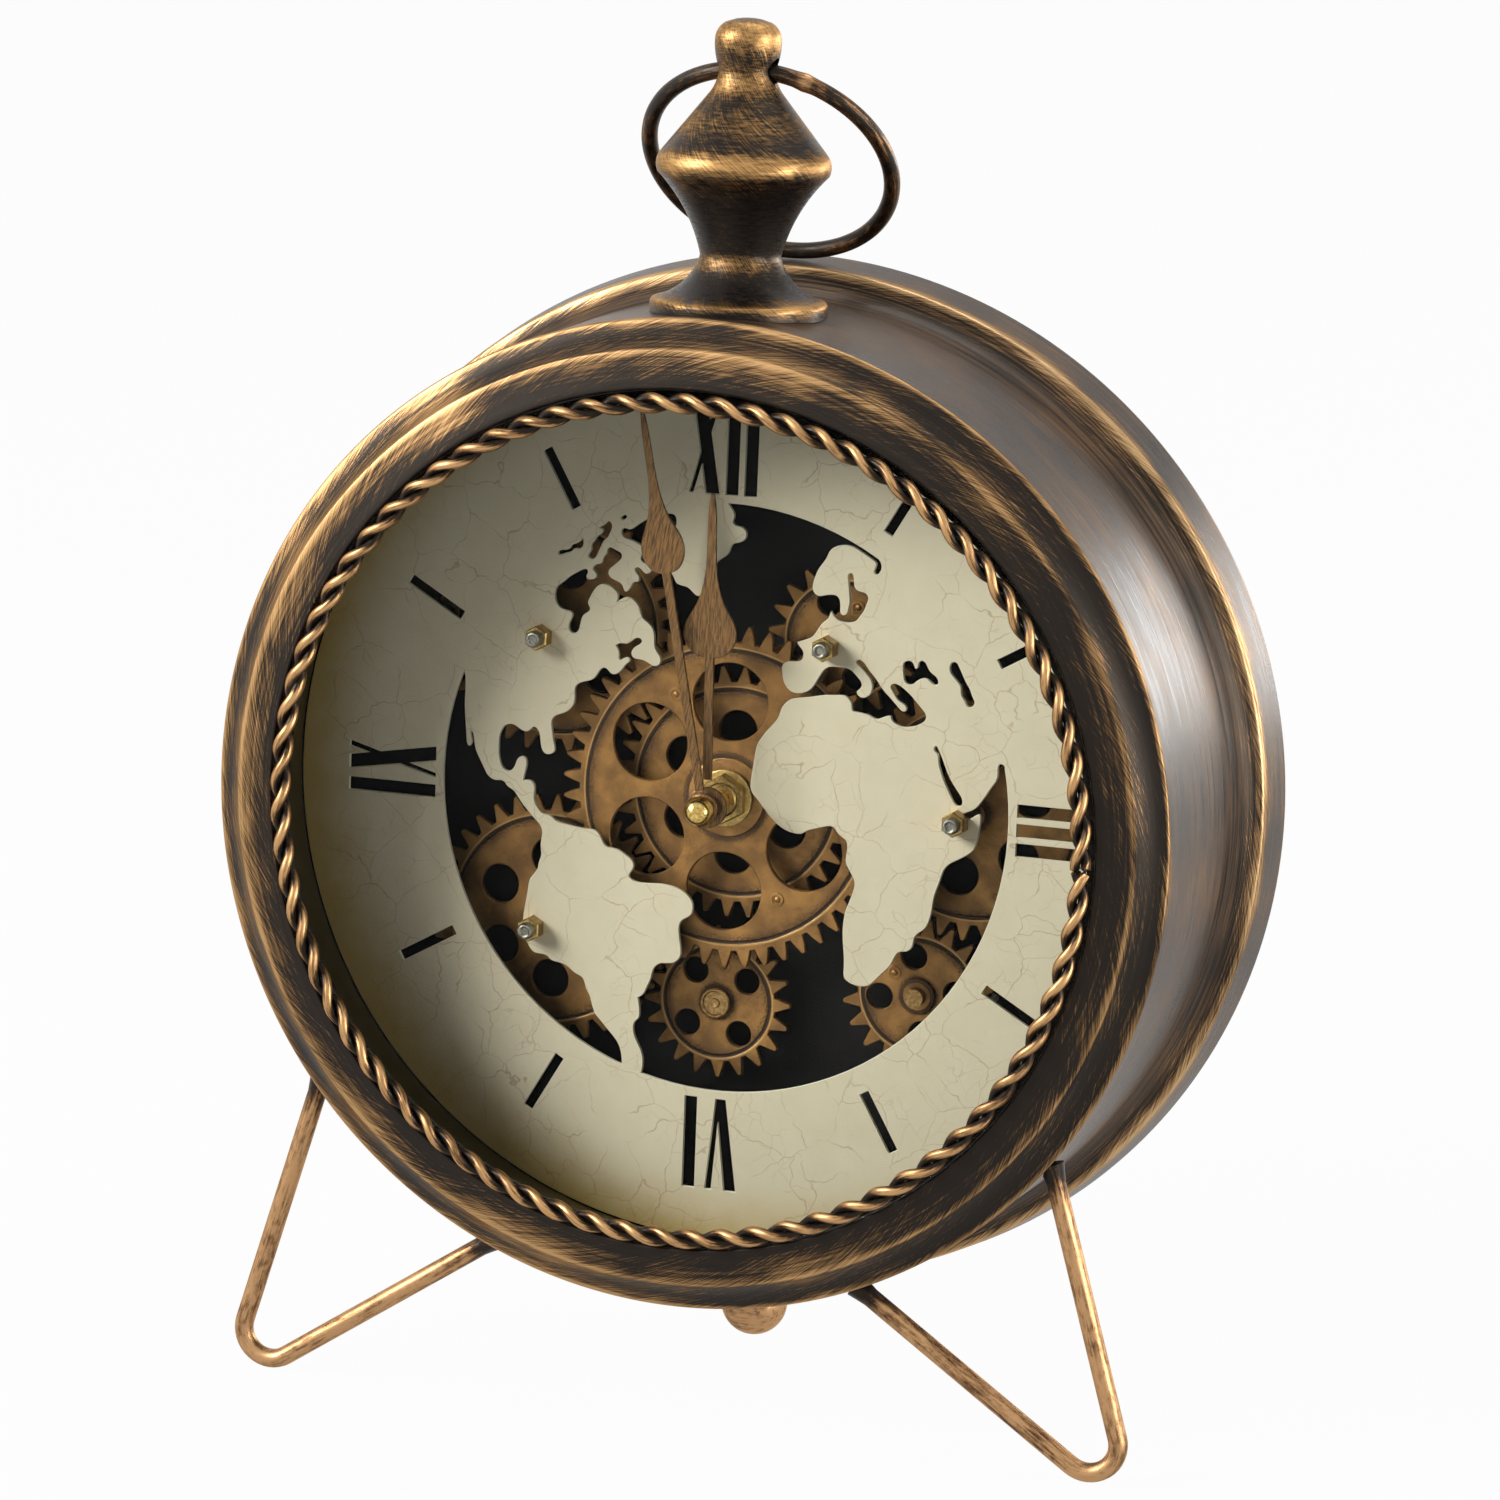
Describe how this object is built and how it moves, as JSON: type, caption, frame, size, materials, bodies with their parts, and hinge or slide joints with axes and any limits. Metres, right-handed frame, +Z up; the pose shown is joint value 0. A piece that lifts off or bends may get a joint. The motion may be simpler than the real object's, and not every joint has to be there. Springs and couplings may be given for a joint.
{
  "type": "table clock",
  "caption": "Leaning round drum clock with a pierced world-map dial over turning gears, Roman numerals, a finial with a swinging ring, two bent-wire front legs and a rear ball foot.",
  "frame": {"origin": "the point on the table midway across the clock and midway between its front-most and rear-most points", "axes": "+Z up, +X to the right for a viewer of the dial, +Y from the dial towards the rear; the drum leans back 5 degrees about X"},
  "size_m": [0.2644, 0.1096, 0.3444],
  "materials": {
    "bezel_lacquer": "black lacquer brushed through to gold on the outer crest",
    "case_lacquer": "worn grey-brown satin lacquer with gold edges",
    "cone_black": "gloss black",
    "clear_glass": "clear polished",
    "rope_gold": "dark twisted wire with brushed gold highlights",
    "dial_cream": "cream crackle paint with a yellow-brown rim",
    "gear_bronze": "antique bronze",
    "plate_black": "satin black",
    "hand_bronze": "streaked bronze",
    "brass": "polished brass",
    "steel": "turned steel",
    "movement_black": "fine matte moulding",
    "knob_white": "matte",
    "battery_steel": "plain cell jacket",
    "cover_black": "satin black",
    "finial_lacquer": "black lacquer brushed through to gold",
    "wire_lacquer": "black lacquer with worn bronze high spots"
  },
  "bodies": {
    "drum": {"front_bezel": "bezel_lacquer", "case_body": "case_lacquer", "dial_cone": "cone_black", "glass": "clear_glass", "rope_trim": "rope_gold", "dial_plate": "dial_cream", "dial_nuts": "brass", "axle_pins": "steel", "axle_spacers": "steel", "stub_axle": "steel", "gear_plate": "plate_black", "plate_screws": "steel", "gear_motor": "steel", "motor_screws": "steel", "movement_case": "movement_black", "movement_bush": "brass", "movement_battery": "battery_steel", "movement_contacts": "steel", "hub_washer": "brass", "hub_nut": "brass", "battery_box": "movement_black", "box_batteries": "battery_steel", "box_contacts": "steel", "back_cover": "cover_black", "cover_screws": "steel", "finial": "finial_lacquer", "left_leg": "wire_lacquer", "right_leg": "wire_lacquer", "ball_foot": "wire_lacquer"},
    "centre_gears": {"centre_gear_front": "gear_bronze", "centre_gear_rear": "gear_bronze", "centre_sleeve": "steel"},
    "upper_left_wheel": {"upper_left_gear": "gear_bronze"},
    "left_wheel": {"left_gear": "gear_bronze"},
    "right_wheel": {"right_gear": "gear_bronze"},
    "top_right_wheel": {"top_right_gear": "gear_bronze"},
    "bottom_wheel": {"bottom_gear": "gear_bronze"},
    "lower_right_wheel": {"lower_right_gear": "gear_bronze", "motor_shaft": "steel"},
    "minute_group": {"minute_hand": "hand_bronze", "minute_shaft": "brass", "cap_nut": "brass"},
    "hour_group": {"hour_hand": "hand_bronze", "hour_tube": "brass"},
    "setting_knob": {"setting_knob": "knob_white"},
    "battery_lid": {"battery_lid": "movement_black"},
    "switch_slider": {"switch_slider": "knob_white"},
    "bail_ring": {"bail_ring": "wire_lacquer"}
  },
  "joints": [
    {"name": "centre_gears_spin", "type": "hinge", "parent": "drum", "child": "centre_gears", "pos_m": [0, 0.00517, 0.15102], "axis": [0, 0.9962, -0.0872], "continuous": true},
    {"name": "upper_left_spin", "type": "hinge", "parent": "drum", "child": "upper_left_wheel", "pos_m": [-0.04875, 0.0084, 0.18788], "axis": [0, 0.9962, -0.0872], "continuous": true},
    {"name": "left_spin", "type": "hinge", "parent": "drum", "child": "left_wheel", "pos_m": [-0.04849, 0.00192, 0.11382], "axis": [0, 0.9962, -0.0872], "continuous": true},
    {"name": "right_spin", "type": "hinge", "parent": "drum", "child": "right_wheel", "pos_m": [0.0612, 0.00522, 0.15155], "axis": [0, 0.9962, -0.0872], "continuous": true},
    {"name": "top_right_spin", "type": "hinge", "parent": "drum", "child": "top_right_wheel", "pos_m": [0.02633, 0.00873, 0.19171], "axis": [0, 0.9962, -0.0872], "continuous": true},
    {"name": "bottom_spin", "type": "hinge", "parent": "drum", "child": "bottom_wheel", "pos_m": [-0.00291, 0.00045, 0.09702], "axis": [0, 0.9962, -0.0872], "continuous": true},
    {"name": "lower_right_spin", "type": "hinge", "parent": "drum", "child": "lower_right_wheel", "pos_m": [0.04944, 0.00111, 0.10457], "axis": [0, 0.9962, -0.0872], "continuous": true},
    {"name": "minute_hand_turn", "type": "hinge", "parent": "drum", "child": "minute_group", "pos_m": [0, -0.02013, 0.15323], "axis": [0, 0.9962, -0.0872], "continuous": true},
    {"name": "hour_hand_turn", "type": "hinge", "parent": "drum", "child": "hour_group", "pos_m": [0, -0.01714, 0.15297], "axis": [0, 0.9962, -0.0872], "continuous": true},
    {"name": "setting_knob_turn", "type": "hinge", "parent": "drum", "child": "setting_knob", "pos_m": [0, 0.03058, 0.14879], "axis": [0, 0.9962, -0.0872], "continuous": true},
    {"name": "bail_ring_swing", "type": "hinge", "parent": "drum", "child": "bail_ring", "pos_m": [0, 0.00896, 0.33198], "axis": [1, 0, 0], "range_deg": [0, 290]},
    {"name": "battery_lid_slide", "type": "slide", "parent": "drum", "child": "battery_lid", "axis": [1, 0, 0], "range_m": [0, 0.012]},
    {"name": "switch_slide", "type": "slide", "parent": "drum", "child": "switch_slider", "axis": [0, 0.0872, 0.9962], "range_m": [0, 0.0035]}
  ],
  "couplings": [
    {"joint": "upper_left_spin", "follows": "centre_gears_spin", "ratio": -1},
    {"joint": "left_spin", "follows": "centre_gears_spin", "ratio": -1},
    {"joint": "right_spin", "follows": "centre_gears_spin", "ratio": -1},
    {"joint": "top_right_spin", "follows": "centre_gears_spin", "ratio": -1.7},
    {"joint": "bottom_spin", "follows": "centre_gears_spin", "ratio": 1.7},
    {"joint": "lower_right_spin", "follows": "centre_gears_spin", "ratio": 1.7},
    {"joint": "hour_hand_turn", "follows": "minute_hand_turn", "ratio": 0.083333},
    {"joint": "setting_knob_turn", "follows": "minute_hand_turn", "ratio": -1}
  ]
}
